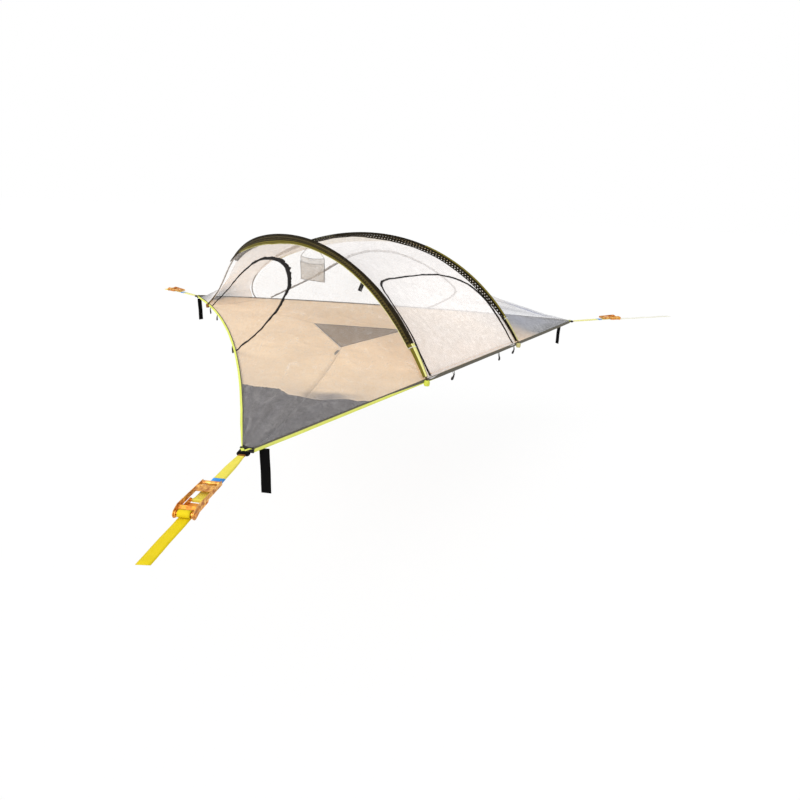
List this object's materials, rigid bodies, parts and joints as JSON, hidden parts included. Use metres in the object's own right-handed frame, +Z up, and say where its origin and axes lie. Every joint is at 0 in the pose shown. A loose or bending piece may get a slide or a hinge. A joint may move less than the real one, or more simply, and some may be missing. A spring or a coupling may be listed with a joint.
{
  "type": "tree tent",
  "caption": "Three-sided tree tent slung from ratchet straps, with a net canopy on two arched poles, three zipped net doors and a floor hatch.",
  "frame": {"origin": "centre of the three corners, in the level plane through them", "axes": "+Z up; -Y points to corner a, the near one, with corner b at the back left and corner c at the back right"},
  "size_m": [5.8917, 5.0373, 1.0628],
  "materials": {
    "floor_cloth": "matte ripstop",
    "corner_cloth": "matte ripstop",
    "hem_webbing": "woven",
    "canopy_net": "fine insect net",
    "door_net": "fine insect net",
    "zip_tape": "coil zip on tape",
    "pole_alloy": "anodised",
    "sleeve_cloth": "open mesh",
    "foot_webbing": "woven",
    "pocket_net": "net",
    "black_webbing": "woven",
    "keeper_plastic": "matte",
    "strap_webbing": "woven",
    "blue_band": "plain",
    "plated_steel": "orange passivated",
    "handle_steel": "orange passivated"
  },
  "bodies": {
    "tent": {"floor_panel": "floor_cloth", "corner_panel_a": "corner_cloth", "corner_panel_b": "corner_cloth", "corner_panel_c": "corner_cloth", "hem_ab": "hem_webbing", "hem_ac": "hem_webbing", "hem_bc": "hem_webbing", "roll_strap_a": "hem_webbing", "roll_strap_b": "hem_webbing", "roll_strap_c": "hem_webbing", "canopy_ab": "canopy_net", "canopy_bc": "canopy_net", "canopy_middle": "canopy_net", "door_zip_ab": "zip_tape", "door_zip_bc": "zip_tape", "door_zip_ac": "zip_tape", "pole_near": "pole_alloy", "pole_far": "pole_alloy", "pole_sleeve_near": "sleeve_cloth", "pole_sleeve_far": "sleeve_cloth", "pole_foot_back_near": "foot_webbing", "pole_foot_back_far": "foot_webbing", "pole_foot_front_near": "foot_webbing", "pole_foot_front_far": "foot_webbing", "corner_keeper_a": "keeper_plastic", "corner_keeper_b": "keeper_plastic", "corner_keeper_c": "keeper_plastic", "short_strap_a": "strap_webbing", "short_strap_b": "strap_webbing", "short_strap_c": "strap_webbing", "strap_band_a": "blue_band", "strap_band_b": "blue_band", "strap_band_c": "blue_band", "tail_strap_a": "strap_webbing", "tail_strap_b": "strap_webbing", "tail_strap_c": "strap_webbing", "ratchet_frame_a": "plated_steel", "ratchet_frame_b": "plated_steel", "ratchet_frame_c": "plated_steel"},
    "door_flap_ab": {"door_ab": "door_net"},
    "door_flap_bc": {"door_bc": "door_net"},
    "door_flap_ac": {"door_ac": "door_net"},
    "hatch": {"floor_hatch": "corner_cloth"},
    "pocket": {"gear_pocket": "pocket_net"},
    "tie_tab": {"door_tie": "black_webbing"},
    "hanging_strap_a": {"tie_strap_a": "black_webbing"},
    "hanging_strap_b": {"tie_strap_b": "black_webbing"},
    "hanging_strap_c": {"tie_strap_c": "black_webbing"},
    "handle_a": {"ratchet_handle_a": "handle_steel"},
    "handle_b": {"ratchet_handle_b": "handle_steel"},
    "handle_c": {"ratchet_handle_c": "handle_steel"},
    "spool_a": {"ratchet_spool_a": "plated_steel"},
    "spool_b": {"ratchet_spool_b": "plated_steel"},
    "spool_c": {"ratchet_spool_c": "plated_steel"},
    "lock_a": {"lock_pawl_a": "plated_steel"},
    "lock_b": {"lock_pawl_b": "plated_steel"},
    "lock_c": {"lock_pawl_c": "plated_steel"},
    "drive_a": {"drive_pawl_a": "plated_steel"},
    "drive_b": {"drive_pawl_b": "plated_steel"},
    "drive_c": {"drive_pawl_c": "plated_steel"}
  },
  "joints": [
    {"name": "door_ab_swing", "type": "hinge", "parent": "tent", "child": "door_flap_ab", "pos_m": [-1.05683, -0.29259, 0.07185], "axis": [0.5196, -0.8544, 0.0088], "range_deg": [0, 120]},
    {"name": "door_bc_swing", "type": "hinge", "parent": "tent", "child": "door_flap_bc", "pos_m": [-0.27503, 1.06154, 0.07185], "axis": [-0.9997, 0.0228, -0.0088], "range_deg": [0, 120]},
    {"name": "door_ac_swing", "type": "hinge", "parent": "tent", "child": "door_flap_ac", "pos_m": [1.04662, -0.60426, 0.04777], "axis": [0.5, 0.866, 0], "range_deg": [0, 120]},
    {"name": "hatch_swing", "type": "hinge", "parent": "tent", "child": "hatch", "pos_m": [0, 0.2492, 0.0033], "axis": [1, 0, 0], "range_deg": [0, 90]},
    {"name": "pocket_swing", "type": "hinge", "parent": "tent", "child": "pocket", "pos_m": [-0.22026, -0.47804, 0.7799], "axis": [0.7897, -0.6135, 0], "range_deg": [-20, 20]},
    {"name": "tie_tab_swing", "type": "hinge", "parent": "tent", "child": "tie_tab", "pos_m": [0.24711, -0.83179, 0.59633], "axis": [0.7077, -0.5271, -0.4704], "range_deg": [-25, 25]},
    {"name": "hanging_strap_a_swing", "type": "hinge", "parent": "tent", "child": "hanging_strap_a", "pos_m": [0.06171, -2.26882, -0.01177], "axis": [1, 0, 0], "range_deg": [-60, 60]},
    {"name": "hanging_strap_b_swing", "type": "hinge", "parent": "tent", "child": "hanging_strap_b", "pos_m": [-1.97762, 1.09141, -0.00759], "axis": [-0.5, -0.866, 0], "range_deg": [-60, 60]},
    {"name": "hanging_strap_c_swing", "type": "hinge", "parent": "tent", "child": "hanging_strap_c", "pos_m": [1.934, 1.16696, -0.00759], "axis": [-0.5, 0.866, 0], "range_deg": [-60, 60]},
    {"name": "handle_a_turn", "type": "hinge", "parent": "tent", "child": "handle_a", "pos_m": [0, -2.87214, 0.012], "axis": [1, 0, 0], "range_deg": [0, 165]},
    {"name": "handle_b_turn", "type": "hinge", "parent": "tent", "child": "handle_b", "pos_m": [-2.50033, 1.44357, 0.012], "axis": [-0.5, -0.866, 0], "range_deg": [0, 165]},
    {"name": "handle_c_turn", "type": "hinge", "parent": "tent", "child": "handle_c", "pos_m": [2.58694, 1.49357, 0.012], "axis": [-0.5, 0.866, 0], "range_deg": [0, 165]},
    {"name": "spool_a_turn", "type": "hinge", "parent": "tent", "child": "spool_a", "pos_m": [0, -2.87214, 0.012], "axis": [1, 0, 0], "range_deg": [-2, 2]},
    {"name": "spool_b_turn", "type": "hinge", "parent": "tent", "child": "spool_b", "pos_m": [-2.50033, 1.44357, 0.012], "axis": [-0.5, -0.866, 0], "range_deg": [-2, 2]},
    {"name": "spool_c_turn", "type": "hinge", "parent": "tent", "child": "spool_c", "pos_m": [2.58694, 1.49357, 0.012], "axis": [-0.5, 0.866, 0], "range_deg": [-2, 2]},
    {"name": "lock_a_slide", "type": "slide", "parent": "tent", "child": "lock_a", "axis": [0, 1, 0], "range_m": [0, 0.005], "stiffness_N_per_m": 400, "springref_m": -0.003},
    {"name": "lock_b_slide", "type": "slide", "parent": "tent", "child": "lock_b", "axis": [0.866, -0.5, 0], "range_m": [0, 0.005], "stiffness_N_per_m": 400, "springref_m": -0.003},
    {"name": "lock_c_slide", "type": "slide", "parent": "tent", "child": "lock_c", "axis": [-0.866, -0.5, 0], "range_m": [0, 0.005], "stiffness_N_per_m": 400, "springref_m": -0.003},
    {"name": "drive_a_slide", "type": "slide", "parent": "handle_a", "child": "drive_a", "axis": [0, 0.866, 0.5], "range_m": [0, 0.005], "stiffness_N_per_m": 400, "springref_m": -0.003},
    {"name": "drive_b_slide", "type": "slide", "parent": "handle_b", "child": "drive_b", "axis": [0.75, -0.433, 0.5], "range_m": [0, 0.005], "stiffness_N_per_m": 400, "springref_m": -0.003},
    {"name": "drive_c_slide", "type": "slide", "parent": "handle_c", "child": "drive_c", "axis": [-0.75, -0.433, 0.5], "range_m": [0, 0.005], "stiffness_N_per_m": 400, "springref_m": -0.003}
  ]
}
